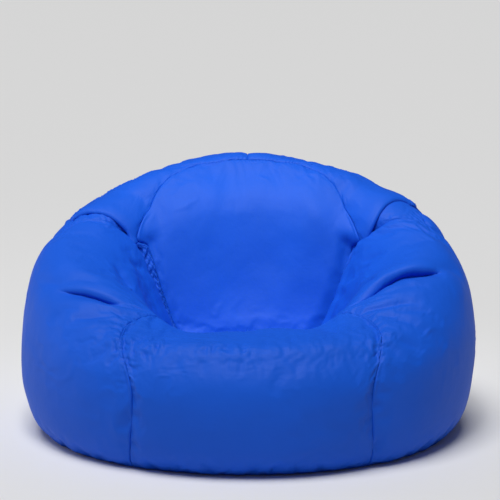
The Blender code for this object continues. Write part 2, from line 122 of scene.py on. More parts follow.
# Soft creases as (marks, depth, width), and the small ones above the front seams
ARM_CREASES = (
    (((-88, 6.6), (-76, 7.9), (-60, 9.3)), 0.005, 0.016),
    (((93, 6.4), (84, 8.2), (60, 10.4)), 0.007, 0.018),
    (((-96, 10.4), (-90, 11.6), (-82, 12.8)), 0.008, 0.012),
)
PULL_STARTS, PULL_SPREADS = ((-1, 72), (1, 76)), (-9, 0, 8)
PULL_DEPTH, PULL_WIDTH = 0.0022, 0.007

# Lips of a sharp line: distance above it, shift along the cloth, and lift off the cloth
LIP_AWAY = (-0.040, -0.022, -0.010, 0, 0.006, 0.012, 0.022, 0.040)
LIP_SHIFT = (0, 0.001, 0.003, 0.004, -0.005, -0.0075, -0.003, 0)
LIP_LIFT = (0, -0.002, -0.008, -0.012, -0.006, 0.0025, 0.004, 0)
INNER_DIP, INNER_DIP_WIDTH = 0.020, 0.024  # how far the layers below stay clear of the line

# Folded wings: distance from the fold, where the cloth goes, and its lift; then for each side how
# far the fold lies behind the shoulder seam, and how much more at the top
FOLD_AWAY = (0, 0.008, 0.016, 0.024, 0.033, 0.046, 0.068)
FOLD_PLACE = (0, -0.009, -0.013, -0.009, 0.004, 0.027, 0.068)
FOLD_LIFT = (0, -0.0030, 0.0000, 0.0052, 0.0068, 0.0045, 0)
WINGS = ((1, 0.010, 0.082), (-1, 0.014, 0.026))

# Uneven filling: lumps as (height, size), then humps as (height, row, its reach, angle, its reach),
# the first ones alike on both sides
LUMPS = ((0.0045, 0.16), (0.0016, 0.07), (0.0006, 0.03))
EVEN_HUMPS = ((-0.016, 9.3, 2.0, 42, 17), (0.006, 8.5, 2.0, 82, 18), (-0.006, 4, 2.5, 90, 45))
SIDE_HUMPS = ((0.016, 7.6, 1.6, 128, 26), (0.007, 7.6, 1.6, -128, 26))
BACK_FULLNESS, BACK_ROLL, SEAT_SINK = 0.016, 0.10, 0.006

# Seams: depth and width of the groove. The inner arm seams are deeper, the right one most
TOP_GROOVE, FRONT_GROOVE, SHOULDER_GROOVE = (0.0042, 0.0026), (0.0036, 0.0022), (0.0034, 0.0024)
BACK_GROOVE, CENTRE_GROOVE, SEAT_GROOVE = (0.0046, 0.0019), (0.0036, 0.0024), (0.0070, 0.004)
INNER_ARM_GROOVES = {1: (0.036, 0.011), -1: (0.026, 0.009)}

# Gathered strips: how full, the pleats' height, and how much of that the right one shows
STRIP_FULLNESS, PLEAT_HEIGHT, STRIP_LENGTH, RIGHT_STRIP = 0.0075, 0.0036, 0.24, 0.4

# How far the arms' inner sides lean over, right and left, and how near the seam
ARM_LEANS, LEAN_REACH = ((1, 0.020), (-1, 0.012)), 0.016

# The grid: rows between the marks above, and columns between the seams of one side
ROW_COUNTS = ((0, 4, 36), (4, 8, 70), (8, 9, 20), (9, 11, 38), (11, 15, 60), (15, 18, 20))
INNERMOST_ROW = LAST_ROW - 0.12
FRONT_COLUMNS, ARM_COLUMNS, WING_COLUMNS, BACK_COLUMNS = 72, 104, 88, 64
CROWDING = ((0, 2), (2, 2), (5, 2), (2, 1))  # how much closer the columns lie at a stretch's ends
CROWD_REACH = 0.12
CLOTH = 0.0012

# Zips and base, as in the CAD part
ZIP_HEIGHT, COVER_ZIP_Y, COVER_ZIP_LENGTH = 0.0050, 0.05, 0.60
LINER_ZIP_Y, LINER_ZIP_LENGTH = 0.10, 0.50
CHAIN_SPLIT, CHAIN_HALF_WIDTH, CHAIN_HEIGHT = 0.0014, 0.0022, 0.0026
SLOT_WIDTH, HEM_WIDTH, SEAM_GAP, STOP_LENGTH = 0.012, 0.010, 0.0005, 0.0030
TAPE_THICKNESS, TOUCH_GAP = 0.0006, 0.0003
COIL_PITCH, COIL_WIRE, COIL_OVERLAP, COIL_SIDES, COIL_STEPS = 0.0015, 0.00030, 0.00040, 5, 10
STITCH_PITCH, STITCH_LENGTH, THREAD_RADIUS, THREAD_SIDES = 0.0042, 0.0032, 0.00028, 6

# Simulation of the slack cover, and how far it may move a point
CLOTH_SETTINGS = {
    "vertex_group_mass": "pinned",
    "use_pressure": True,
    "uniform_pressure_force": 2.5,
    "quality": 4,
    "mass": 0.15,
    "tension_stiffness": 12,
    "compression_stiffness": 12,
    "shear_stiffness": 4,
    "bending_stiffness": 0.1,
    "shrink_min": -0.02,
}
CLOTH_FRAMES = 16
CLOTH_REACH = 0.010

# Layers under the cover, as in the CAD part
LINER_INSET, LINER_CLOTH, LINER_FLOOR, LINER_BASE_INSET = 0.0060, 0.0008, 0.0091, 0.0075
FILL_INSET, FILL_FLOOR, FILL_SPLIT = 0.0085, 0.0182, 50.0
ELASTIC_INSETS = (0.0014, 0.0022)

# Colours
COVER_BLUE, ZIP_BLUE, THREAD_BLUE = (0.004, 0.093, 0.64), (0.006, 0.055, 0.34), (0.010, 0.10, 0.50)
LINER_WHITE, ELASTIC_WHITE = (0.80, 0.80, 0.78), (0.83, 0.83, 0.80)
BEAD_WHITE, ZIP_METAL, FLOOR_GREY = (0.86, 0.86, 0.84), (0.62, 0.62, 0.60), (0.80, 0.80, 0.80)

# Camera: it looks down on the chair's middle from the front
CAMERA_TILT, CAMERA_AWAY, CAMERA_HEIGHT = 11, 3.2, 0.25
CAMERA_LENS, CAMERA_SHIFT = 114.9, (0.005, 0.107)
WORLD_LIGHT, FLOOR_DROP, FLOOR_SIZE = 0.09, 0.0004, 400.0


# ---- numbers ----


def mix(a, b, share):
    return a + (b - a) * share


def smoothstep(low, high, value):
    t = np.clip((value - low) / (high - low), 0, 1)
    return t * t * (3 - 2 * t)


def hump(centre, width, value):
    """A rounded bump of height 1 at centre."""
    return np.exp(-(((value - centre) / width) ** 2))


def curve_through(value, xs, ys):
    """A smooth curve through a few points."""
    xs, ys = np.array(xs, float), np.array(ys, float)
    slopes = np.gradient(ys, xs)
    k = np.clip(np.searchsorted(xs, value) - 1, 0, len(xs) - 2)
    step = xs[k + 1] - xs[k]
    t = np.clip((value - xs[k]) / step, 0, 1)
    a, b = 2 * t**3 - 3 * t**2 + 1, t**3 - 2 * t**2 + t
    c, d = -2 * t**3 + 3 * t**2, t**3 - t**2
    return a * ys[k] + b * step * slopes[k] + c * ys[k + 1] + d * step * slopes[k + 1]


def noise(points, size, seed):
    """Smooth random values from -1 to 1 with lumps about size metres across."""
    cells, start = 32, 64.37
    table = np.random.default_rng(seed).uniform(-1, 1, (cells, cells, cells))
    cell = points / size + start
    low = np.floor(cell).astype(int)
    t = cell - low
    t = t * t * t * (t * (6 * t - 15) + 10)
    total = np.zeros(points.shape[:-1])
    for corner in np.ndindex(2, 2, 2):
        weight = np.prod(np.where(corner, t, 1 - t), axis=-1)
        index = (low + corner) % cells
        total += weight * table[index[..., 0], index[..., 1], index[..., 2]]
    return total


# ---- the smooth surface ----


def reach(angle, width, depth, centre_y):
    """Distance from the seat centre to an ellipse in plan."""
    dx, dy = np.sin(np.radians(angle)), -np.cos(np.radians(angle))
    a, b, offset = width / 2, depth / 2, SEAT_Y - centre_y
    p = (dx / a) ** 2 + (dy / b) ** 2
    q = offset * dy / b**2
    return (-q + np.sqrt(q * q - p * ((offset / b) ** 2 - 1))) / p


def section(angle, row):
    """Points of the chair's smooth outer surface. Rows past SEAT_ROW run in over the seat."""
    angle, row = np.broadcast_arrays(np.asarray(angle, float), np.asarray(row, float))
    below = (row - BULGE_ROW) / (TOP_SEAM_ROW - BULGE_ROW)
    above = (WAIST_ROW - row) / (WAIST_ROW - TOP_SEAM_ROW)
    crowd = np.clip(np.minimum(below, above), 0, 1) * smoothstep(125, 168, np.abs(angle))
    row = row + TOP_SEAM_LIFT * crowd
    base = reach(angle, BASE_WIDTH, BASE_DEPTH, 0)
    bulge = reach(angle, WIDTH, DEPTH, 0)
    crest = reach(angle, CREST_WIDTH, CREST_DEPTH, CREST_Y)
    seat = reach(angle, SEAT_WIDTH, SEAT_DEPTH, SEAT_Y)
    turned = (1 - np.cos(np.radians(angle))) / 2
    top = FRONT_HEIGHT + (BACK_HEIGHT - FRONT_HEIGHT) * turned**RISE_POWER
    middle = BULGE_HEIGHT * (top / FRONT_HEIGHT) ** 0.35
    floor, pan = np.zeros_like(top), np.full_like(top, SEAT_HEIGHT)
    curves = (
        (0, BULGE_ROW, (base, mix(base, bulge, BASE_ROUND), bulge, bulge),
         (floor, floor, middle * (1 - BASE_ROUND), middle)),
        (BULGE_ROW, CREST_ROW, (bulge, bulge, mix(crest, bulge, OUTER_ROUND), crest),
         (middle, mix(middle, top, OUTER_ROUND), top, top)),
        (CREST_ROW, SEAT_ROW,
         (crest, mix(crest, seat, CREST_ROUND), mix(seat, crest, SEAT_ROUND), seat),
         (top, top, pan, pan)),
    )
    share = 1 - (row - SEAT_ROW) / (LAST_ROW - SEAT_ROW)
    distance, height = seat * share, SEAT_HEIGHT - SEAT_DISH * (1 - share**2)
    for first, last, distances, heights in curves:
        t = (row - first) / (last - first)
        inside = (t <= 1) & (t >= 0)
        for points, values in ((distances, distance), (heights, height)):
            p0, p1, p2, p3 = points
            s = 1 - t
            bent = s**3 * p0 + 3 * s * s * t * p1 + 3 * s * t * t * p2 + t**3 * p3
            values[inside] = bent[inside]
    turn = np.radians(angle)
    return np.stack(
        [distance * np.sin(turn), SEAT_Y - distance * np.cos(turn), height], axis=-1
    )


def front_seam(row):
    angle = np.full_like(row, FRONT_SEAM_MARKS[-1][1])
    for (row0, angle0), (row1, angle1) in zip(FRONT_SEAM_MARKS, FRONT_SEAM_MARKS[1:]):
        inside = (row >= row0) & (row <= row1)
        angle = np.where(inside, mix(angle0, angle1, smoothstep(row0, row1, row)), angle)
    return angle


def back_seam(row):
    upper = np.clip((WAIST_ROW - row) / (WAIST_ROW - TOP_SEAM_ROW), 0, 1) ** 1.15
    lower = np.clip((row - WAIST_ROW) / (SEAT_ROW - WAIST_ROW), 0, 1) ** 2
    angle = BACK_SEAM_WAIST + (BACK_SEAM_TOP - BACK_SEAM_WAIST) * upper
    angle += (BACK_SEAM_FOOT - BACK_SEAM_WAIST) * lower
    even = mix(SHOULDER_SEAM, 180, WING_COLUMNS / (WING_COLUMNS + BACK_COLUMNS))
    return mix(even, angle, smoothstep(BULGE_ROW, TOP_SEAM_ROW, row))


def arm_rear(row):
    waist = BACK_SEAM_WAIST - GUSSET_ANGLE
    share = np.clip((row - TOP_SEAM_ROW) / (WAIST_ROW - TOP_SEAM_ROW), 0, 1)
    angle = mix(SHOULDER_SEAM, waist, share)
    return np.where(row > WAIST_ROW, back_seam(row) - GUSSET_ANGLE, angle)


class Grid:
    """The cover's grid: angles, rows, smooth points, and distances along both directions."""

    def __init__(self):
        rows = [np.linspace(a, b, n + 1)[:-1] for a, b, n in ROW_COUNTS]
        self.rows = np.append(np.concatenate(rows), INNERMOST_ROW)
        row = self.rows[:, None]
        counts = (FRONT_COLUMNS, ARM_COLUMNS, WING_COLUMNS, BACK_COLUMNS)
        halves = []
        for slip in FRONT_SLIP:
            front = front_seam(row) - slip * hump(4, 4.5, row)
            seams = (0 * row, front, arm_rear(row), back_seam(row), 0 * row + 180)
            half = []
            for first, last, count, ends in zip(seams, seams[1:], counts, CROWDING):
                share = self.crowded(count, *ends)[None, :-1]
                half.append(first + (last - first) * share)
            halves.append(np.concatenate(half + [seams[-1]], axis=1))
        right, left = halves
        self.marks = np.cumsum((0, *counts))
        self.half = right.shape[1] - 1
        self.angles = np.concatenate([right, -left[:, -2:0:-1]], axis=1)
        self.grid_rows = np.broadcast_to(row, self.angles.shape)
        self.smooth = section(self.angles, self.grid_rows)
        self.along = self.lengths(self.smooth, 0)
        self.across = self.lengths(self.smooth, 1)
        self.normal = self.normals(self.smooth)
        around = np.roll(self.smooth, -1, axis=1) - np.roll(self.smooth, 1, axis=1)
        self.around = around / np.linalg.norm(around, axis=-1, keepdims=True)

    @staticmethod
    def crowded(count, start, end):
        """Shares from 0 to 1 that lie closer together near the seams at the ends."""
        t = (np.arange(count) + 0.5) / count
        near_start, near_end = np.exp(-t / CROWD_REACH), np.exp((t - 1) / CROWD_REACH)
        steps = 1 / (1 + start * near_start + end * near_end)
        return np.append(0, np.cumsum(steps)) / steps.sum()

    @staticmethod
    def lengths(points, axis):
        steps = np.linalg.norm(np.diff(points, axis=axis), axis=-1)
        pad = [(1, 0) if k == axis else (0, 0) for k in (0, 1)]
        return np.pad(np.cumsum(steps, axis=axis), pad)

    @staticmethod
    def normals(points):
        around = np.roll(points, -1, axis=1) - np.roll(points, 1, axis=1)
        up = np.gradient(points, axis=0)
        normal = np.cross(around, up)
        return normal / np.linalg.norm(normal, axis=-1, keepdims=True)

    def row_at(self, row):
        return int(np.argmin(abs(self.rows - row)))

    def column(self, mark, side):
        """Column of a seam: 0 front centre, 1 front, 2 arm rear, 3 back, 4 back centre."""
        k = int(self.marks[mark])
        return k if side > 0 else (2 * self.half - k) % (2 * self.half)

    def from_column(self, mark, side):
        """Signed distance along the rows from a seam, growing towards the back."""
        k = self.column(mark, side)
        return side * (self.across - self.across[:, k : k + 1])

    def from_row(self, row):
        k = self.row_at(row)
        return self.along - self.along[k : k + 1]


# ---- stuffing, seams and creases, as a push along the normal ----


def seam_profile(distance, depth, width):
    """Two panels drawn in to one stitched line: a narrow groove in a wide shallow dip."""
    away = np.abs(distance)
    return -depth * (0.65 * np.exp(-away / width) + 0.35 * np.exp(-((away / (6 * width)) ** 2)))


def puckers(distance, along, height, length, pitch, seed):
    """Short gathers across a seam, uneven in size and spacing."""
    line = np.stack([along, along * 0 + seed, along * 0], axis=-1)
    wander = noise(line, pitch * 2.2, seed) * 1.6
    size = 0.55 + 0.75 * noise(line, pitch * 1.7, seed + 1)
    wave = np.cos(2 * math.pi * along / pitch + wander * 2)
    return height * size * wave * np.exp(-((distance / length) ** 2))


def line_through(marks):
    """Points of the smooth surface along a curve through (angle, row) marks."""
    marks = np.array(marks, float)
    at = np.linspace(0, 1, len(marks))
    t = np.linspace(0, 1, 80)
    return section(curve_through(t, at, marks[:, 0]), curve_through(t, at, marks[:, 1]))


def beside(grid, marks):
    """Signed distance to a line (positive above it), share along it, and the way up from it."""
    line = line_through(marks)
    near = np.full(grid.angles.shape, 9.0)
    place = np.zeros(grid.angles.shape)
    offset = np.zeros(grid.smooth.shape)
    for k, point in enumerate(line):
        away = grid.smooth - point
        gap = np.linalg.norm(away, axis=-1)
        closer = gap < near
        near[closer], place[closer], offset[closer] = gap[closer], k / (len(line) - 1), away[closer]
    along = (line[-1] - line[0]) / np.linalg.norm(line[-1] - line[0])
    upward = np.cross(grid.normal, along)
    upward /= np.linalg.norm(upward, axis=-1, keepdims=True)
    upward *= np.sign(np.sum(upward[near < 0.05] @ (0, 1, 1)))
    side = np.sum(offset * upward, axis=-1)
    return np.where(side >= 0, near, -near), place, upward


def crease(grid, marks, depth, width, ridge=0.5):
    """A soft crease along a line, with a ridge on either side."""
    near, place, _ = beside(grid, marks)
    near = np.abs(near)
    fade = smoothstep(0, 0.22, place) * smoothstep(1, 0.78, place)
    valley = np.exp(-((near / width) ** 1.4))
    sides = np.exp(-(((near - 2.6 * width) / (1.8 * width)) ** 2))
    return depth * fade * (ridge * sides - valley)


def slit(grid, points, line, size):
    """A sharp crease: the cloth above hangs over it as a lip and the cloth below sinks."""
    away, place, upward = line
    fade = smoothstep(0, 0.4, place) * smoothstep(1, 0.7, place)
    placed = curve_through(away, LIP_AWAY, LIP_SHIFT)
    lifted = curve_through(away, LIP_AWAY, LIP_LIFT)
    inside = (np.abs(away) < LIP_AWAY[-1]) * fade * size
    return (
        points
        + (inside * placed)[..., None] * upward
        + (inside * lifted)[..., None] * grid.normal
    )


def stuffing(grid):
    """Large soft shapes: full panels, a sunken seat and uneven filling."""
    row, p = grid.grid_rows, grid.smooth
    push = sum(height * noise(p, size, seed + 1) for seed, (height, size) in enumerate(LUMPS))
    inside = smoothstep(CREST_ROW, WAIST_ROW, row) * smoothstep(16, 14, row)
    for side in (1, -1):
        full = BACK_FULLNESS * inside * smoothstep(0, BACK_ROLL, grid.from_column(3, side))
        push += full * (p[..., 0] * side >= 0)
    push -= SEAT_SINK * smoothstep(14, 17, row)
    for humps, angles in ((EVEN_HUMPS, np.abs(grid.angles)), (SIDE_HUMPS, grid.angles)):
        for height, middle, rows, angle, width in humps:
            push += height * hump(middle, rows, row) * hump(angle, width, angles)
    return push


def sewn_seams(grid):
    """The grooves of the seams, and the short puckers that the thread draws across them."""
    row = grid.grid_rows
    push = np.zeros(row.shape)
    walls = row <= SEAT_ROW
    ring = np.minimum(grid.across, grid.across[:, -1:] - grid.across)
    top = grid.from_row(TOP_SEAM_ROW)
    behind = np.abs(grid.angles) > arm_rear(row) - 0.01
    sewn = behind & (row <= WAIST_ROW)
    push += np.where(sewn, seam_profile(top, *TOP_GROOVE), 0)
    push += np.where(sewn, puckers(top, grid.across, 0.0022, 0.016, 0.017, 11), 0)
    push += np.where(sewn, puckers(top, grid.across, 0.0010, 0.010, 0.008, 12), 0)
    for side in (1, -1):
        here = (np.sign(grid.angles) == side) | (np.abs(grid.angles) < 1)
        front = grid.from_column(1, side)
        busy = 0.35 + 0.9 * hump(6.8, 1.6, row)
        ticks = puckers(front, grid.along, 0.0011, 0.009, 0.0085, 21 + side)
        ticks += puckers(front, grid.along, 0.0012, 0.022, 0.021, 25 + side)
        push += np.where(here & walls, seam_profile(front, *FRONT_GROOVE) + busy * ticks, 0)
        rear = grid.from_column(2, side)
        outside = smoothstep(CREST_ROW + 1.2, CREST_ROW - 0.3, row)
        ticks = puckers(rear, grid.along, 0.0007, 0.010, 0.010, 31 + side)
        push += np.where(here, outside * (seam_profile(rear, *SHOULDER_GROOVE) + ticks), 0)
        inside = smoothstep(CREST_ROW, WAIST_ROW, row) * smoothstep(15.5, 14.8, row)
        push += np.where(here, inside * seam_profile(rear, *INNER_ARM_GROOVES[side]), 0)
        back = grid.from_column(3, side)
        upper = smoothstep(TOP_SEAM_ROW - 0.2, TOP_SEAM_ROW + 0.2, row)
        ticks = puckers(back, grid.along, 0.0006, 0.009, 0.010, 41 + side)
        push += np.where(here & walls, upper * (seam_profile(back, *BACK_GROOVE) + ticks), 0)
    centre = grid.from_column(4, 1)
    low = smoothstep(TOP_SEAM_ROW + 0.1, TOP_SEAM_ROW - 0.1, row) * (np.abs(grid.angles) > 90)
    ticks = puckers(centre, grid.along, 0.0010, 0.012, 0.011, 45)
    push += low * (seam_profile(centre, *CENTRE_GROOVE) + ticks)
    seat = grid.from_row(SEAT_ROW)
    push += seam_profile(seat, *SEAT_GROOVE) + puckers(seat, ring, 0.001, 0.012, 0.013, 51)
    return push


def gathers(grid):
    """Pleats of the strips that the elastic draws up: big at the top, finer lower down."""
    row = grid.grid_rows
    push = np.zeros(row.shape)
    down = grid.from_row(WAIST_ROW)
    for side in (1, -1):
        front, back = grid.from_column(2, side), grid.from_column(3, side)
        span = np.clip(front / np.maximum(front - back, 1e-4), 0, 1)
        strip = (front >= 0) & (back <= 0) & (row >= WAIST_ROW - 0.3) & (row <= SEAT_ROW)
        line = np.stack([grid.along, span * 0.006, span * 0 + side], axis=-1)
        turns = 9 * (down / STRIP_LENGTH) + 10 * (np.clip(down, 0, 1) / STRIP_LENGTH) ** 2
        wave = np.sin(2 * math.pi * turns + 3.2 * noise(line, 0.022, 61 + side) + 1.4 * span)
        wave = wave * (0.8 + 0.5 * noise(line, 0.015, 65 + side)) * smoothstep(-0.1, 0.6, span)
        fullness = np.sin(math.pi * span) ** 0.6 * smoothstep(WAIST_ROW - 0.3, WAIST_ROW + 0.3, row)
        fullness *= RIGHT_STRIP if side > 0 else 1.0
        push += np.where(strip, fullness * (STRIP_FULLNESS + PLEAT_HEIGHT * wave), 0)
    return push


def crumple(grid):
    """Wrinkles of slack cloth: short upright ones over the front roll, faint ones elsewhere."""
    p, row = grid.smooth, grid.grid_rows
    around = grid.across - np.where(grid.angles < 0, grid.across[:, -1:], 0)
    flat = np.stack([around, grid.along, p[..., 1]], axis=-1)
    flat = flat + 0.010 * np.stack([noise(p, 0.035, s) for s in (71, 72, 73)], axis=-1)
    upright = 1 - np.abs(noise(flat * (1, 0.40, 0.3), 0.0125, 74)) * 2.2
    fine = 1 - np.abs(noise(flat * (1, 0.8, 0.5), 0.008, 75)) * 2.2
    patch = smoothstep(-0.25, 0.45, noise(p, 0.05, 76))
    front = hump(6.9, 1.3, row) * smoothstep(66, 38, np.abs(grid.angles))
    push = front * (0.45 + 0.55 * patch) * (0.0034 * upright + 0.0014 * fine)
    drift = noise(p * (1, 1, 1.6), 0.045, 77)
    lines = 1 - np.abs(noise(p + 0.02 * drift[..., None], 0.030, 78)) * 2.4
    calm = smoothstep(0.1, 0.7, noise(p, 0.11, 79))
    return push + 0.0010 * calm * np.maximum(lines, -0.5) * smoothstep(0.5, 3, row)


def creases(grid):
    """Soft folds of the arms, and the edge where the front roll turns down to the face."""
    row, turn = grid.grid_rows, np.abs(grid.angles)
    push = sum(crease(grid, *soft) for soft in ARM_CREASES)
    for side, start in PULL_STARTS:
        for k, spread in enumerate(PULL_SPREADS):
            marks = (
                (side * (start + spread), 7.6),
                (side * (start + 1.2 * spread - 5), 8.2 + 0.1 * k),
                (side * (start + 1.6 * spread - 12), 8.8),
            )
            push += crease(grid, marks, PULL_DEPTH, PULL_WIDTH)
    push += 0.006 * hump(6.7, 0.55, row) * smoothstep(80, 45, turn)
    push -= 0.003 * hump(8.2, 0.8, row) * smoothstep(70, 40, turn)
    return push


def fold_wings(grid, points):
    """Rolls the front edge of each wing forwards over the arm, behind the shoulder seam."""
    row = grid.grid_rows
    for side, set_back, more in WINGS:
        beyond = grid.from_column(2, side)
        behind = set_back * smoothstep(11.1, 10.4, row) + more * smoothstep(10.6, 7.9, row)
        away = np.clip(beyond - behind, 0, FOLD_AWAY[-1])
        placed = curve_through(away, FOLD_AWAY, FOLD_PLACE)
        lifted = curve_through(away, FOLD_AWAY, FOLD_LIFT)
        size = smoothstep(6.8, 8.0, row) * smoothstep(11.3, 10.8, row)
        size = np.where((np.sign(grid.angles) == side) & (beyond >= 0), size, 0)
        points = points + (size * lifted)[..., None] * grid.normal
        points = points + (size * (placed - away) * side)[..., None] * grid.around
    return points


def lean_arms(grid, points):
    """The arms' inner sides bulge back over the gathered strips, the right one further."""
    row = grid.grid_rows
    inside = smoothstep(CREST_ROW + 0.5, WAIST_ROW, row) * smoothstep(16, 14, row)
    for side, lean in ARM_LEANS:
        near = -grid.from_column(2, side) / LEAN_REACH
        shape = np.where(near >= 0, near * np.exp(1 - near), 0) * inside
        shape = np.where(np.sign(grid.angles) == side, shape, 0)
        points = points + (lean * shape * side)[..., None] * grid.around
        points = points + (0.35 * lean * shape)[..., None] * grid.normal
    return points


def midpoints(values, axis, closed):
    """Smooth values halfway between neighbours along an axis."""
    pad = [(1, 2) if k == axis else (0, 0) for k in range(values.ndim)]
    padded = np.pad(values, pad, mode="wrap" if closed else "edge")
    count = values.shape[axis]
    before, here, after, further = (np.take(padded, range(k, k + count), axis) for k in range(4))
    return (9 * (here + after) - before - further) / 16


def refine(values):
    """Twice as many rows and columns, running smoothly through the given ones."""
    between = midpoints(values, 1, True)
    wide = np.stack([values, between], axis=2).reshape(values.shape[0], -1, 3)
    between = midpoints(wide, 0, False)
    tall = np.stack([wide, between], axis=1).reshape(-1, *wide.shape[1:])
    return tall[:-1]


def pinned_seams(grid, rows):
    """The stitched lines and the edges, which hold still while the cloth between them settles."""
    m = grid.marks
    full = 2 * grid.half
    row = grid.rows[:rows, None]
    pinned = np.zeros((rows, full), bool)
    pinned[0] = pinned[-1] = True
    for column in (m[1], full - m[1], m[2], full - m[2]):
        pinned[:, column] = True
    for column in (m[3], full - m[3]):
        pinned[:, column] |= row[:, 0] >= TOP_SEAM_ROW
    pinned[:, m[4]] |= row[:, 0] <= TOP_SEAM_ROW
    pinned[grid.row_at(TOP_SEAM_ROW), m[2] : full - m[2] + 1] = True
    for first, last in ((m[2], m[3]), (full - m[3], full - m[2])):
        pinned[grid.row_at(WAIST_ROW), first : last + 1] = True
    return pinned


def settle(grid, points):
    """Cloth simulation of every other row and column: slack cloth swells between its seams."""
    rows = grid.row_at(SEAT_ROW) + 1
    start = points[:rows:2, ::2]
    pinned = pinned_seams(grid, rows)[::2, ::2]
    count, wide = pinned.shape
    index = np.arange(count * wide).reshape(count, wide)
    mesh = bpy.data.meshes.new("settling")
    mesh.from_pydata(start.reshape(-1, 3).tolist(), [], ring_faces(index))
    obj = add_object("settling", mesh)
    obj.vertex_groups.new(name="pinned").add(index[pinned].tolist(), 1.0, "REPLACE")
    cloth = obj.modifiers.new("cloth", "CLOTH")
    cloth.collision_settings.use_collision = False
    for key, value in CLOTH_SETTINGS.items():
        setattr(cloth.settings, key, value)
    cloth.settings.effector_weights.gravity = 0
    cloth.point_cache.frame_end = CLOTH_FRAMES
    for frame in range(1, CLOTH_FRAMES + 1):
        bpy.context.scene.frame_set(frame)
    evaluated = obj.evaluated_get(bpy.context.evaluated_depsgraph_get()).data
    ended = np.empty(count * wide * 3, np.float32)
    evaluated.vertices.foreach_get("co", ended)
    moved = ended.reshape(start.shape) - start
    bpy.data.objects.remove(obj)
    bpy.data.meshes.remove(mesh)
    bpy.context.scene.frame_set(1)
    length = np.linalg.norm(moved, axis=-1, keepdims=True)
    moved = moved * CLOTH_REACH / np.maximum(CLOTH_REACH, length)
    settled = points.copy()
    behind = smoothstep(104, 122, np.abs(grid.angles[:rows]))
    calm = 1 - 0.55 * behind * smoothstep(7.6, 8.2, grid.grid_rows[:rows])
    settled[:rows] += calm[..., None] * refine(moved)
    return settled


def shape_cover(grid):
    """The cover's points, and the push along the normal that the layers below it follow."""
    fade = smoothstep(0, 0.5, grid.grid_rows)
    full = fade * (stuffing(grid) + sewn_seams(grid))
    folds = fade * creases(grid)
    points = grid.smooth + full[..., None] * grid.normal
    points = settle(grid, points)
    inner = full + folds
    push = folds + fade * (gathers(grid) + crumple(grid))
    points = fold_wings(grid, points + push[..., None] * grid.normal)
    points = lean_arms(grid, points)
    # Beside an arm the lower side, the arm, laps over; across an arm the upper one does
    for over, lines in ((-1, ARM_GAPS), (1, SLITS)):
        for marks, size in lines:
            away, place, upward = beside(grid, marks)
            points = slit(grid, points, (over * away, place, over * upward), size)
            ends = smoothstep(0, 0.2, place) * smoothstep(1, 0.85, place)
            inner = inner - INNER_DIP * size * ends * hump(0, INNER_DIP_WIDTH, away)
    points[..., 2] = np.maximum(points[..., 2], 0.0)
    return points, lowest_nearby(inner)


def lowest_nearby(push, rows=6, columns=7):
    """The deepest push within a few cells, so that the layers below clear narrow creases."""
    low = push.copy()
    for step in range(-columns, columns + 1):
        low = np.minimum(low, np.roll(push, step, axis=1))
    deepest = low.copy()
    for step in range(1, rows + 1):
        deepest[step:] = np.minimum(deepest[step:], low[:-step])
        deepest[:-step] = np.minimum(deepest[:-step], low[step:])
    return deepest


# ---- cutting the panels ----


def add_object(name, data):
    obj = bpy.data.objects.new(name, data)
    bpy.context.scene.collection.objects.link(obj)
    return obj


def add_mesh(name, vertices, faces, material, smooth=True):
    mesh = bpy.data.meshes.new(name)
    mesh.from_pydata(vertices.reshape(-1, 3).tolist(), [], faces)
    if smooth:
        mesh.shade_smooth()
    mesh.materials.append(material)
    return add_object(name, mesh)


def ring_faces(index):
    """Quads between the rows of a table of point numbers, where each row is a closed ring."""
    after = np.roll(index, -1, axis=1)
    quads = np.stack([index[:-1], after[:-1], after[1:], index[1:]], -1)
    return quads.reshape(-1, 4).tolist()


def slab(name, top, bottom, material):
    """A closed sheet between two grids of points."""
    rows, columns = top.shape[:2]
    size = rows * columns
    index = np.arange(size).reshape(rows, columns)
    a, b, c, d = index[:-1, :-1], index[1:, :-1], index[1:, 1:], index[:-1, 1:]
    upper = np.stack([a, d, c, b], axis=-1).reshape(-1, 4)
    lower = upper[:, ::-1] + size
    rim = np.concatenate([index[0, :-1], index[:-1, -1], index[-1, :0:-1], index[::-1, 0][:-1]])
    after = np.roll(rim, -1)
    sides = np.stack([rim, rim + size, after + size, after], axis=-1)
    faces = np.concatenate([upper, lower, sides]).tolist()
    vertices = np.concatenate([top.reshape(-1, 3), bottom.reshape(-1, 3)])
    return add_mesh(name, vertices, faces, material)


def build_cover(grid, points, material):
    """Cuts the grid along its seams into the sewn panels, and returns them."""
    normals = grid.normals(points)
    full = 2 * grid.half
    m = [int(k) for k in grid.marks]
    foot, top, waist, seat = (grid.row_at(r) for r in (0, TOP_SEAM_ROW, WAIST_ROW, SEAT_ROW))
    panels = [("front_panel_cloth", "front_panel", foot, seat, full - m[1], full + m[1])]
    for word, side in (("right", 1), ("left", -1)):
        shoulder, back, centre = (k if side > 0 else full - k for k in m[2:])
        front = m[1] if side > 0 else full - m[1]
        panels += [
            (f"{word}_arm_cloth", f"{word}_arm_panel", foot, seat, front, shoulder),
            (f"{word}_wing_cloth", f"{word}_wing_panel", top, waist, shoulder, back),
            (f"{word}_gusset_cloth", f"{word}_back_gusset", waist, seat, shoulder, back),
            (f"outer_back_{word}_cloth", f"outer_back_{word}_panel", foot, top, shoulder, centre),
        ]
    panels.append(("inner_back_cloth", "inner_back_panel", top, seat, m[3], full - m[3]))
    pieces = []
    for name, node, low, high, *columns in panels:
        picked = np.arange(min(columns), max(columns) + 1) % full
        part = np.ix_(np.arange(low, high + 1), picked)
        outer = points[part]
        panel = slab(name, outer, outer - CLOTH * normals[part], material)
        pieces.append(place(panel, node, "cover_fabric"))
    return pieces + [build_seat(grid, points, normals, material)]


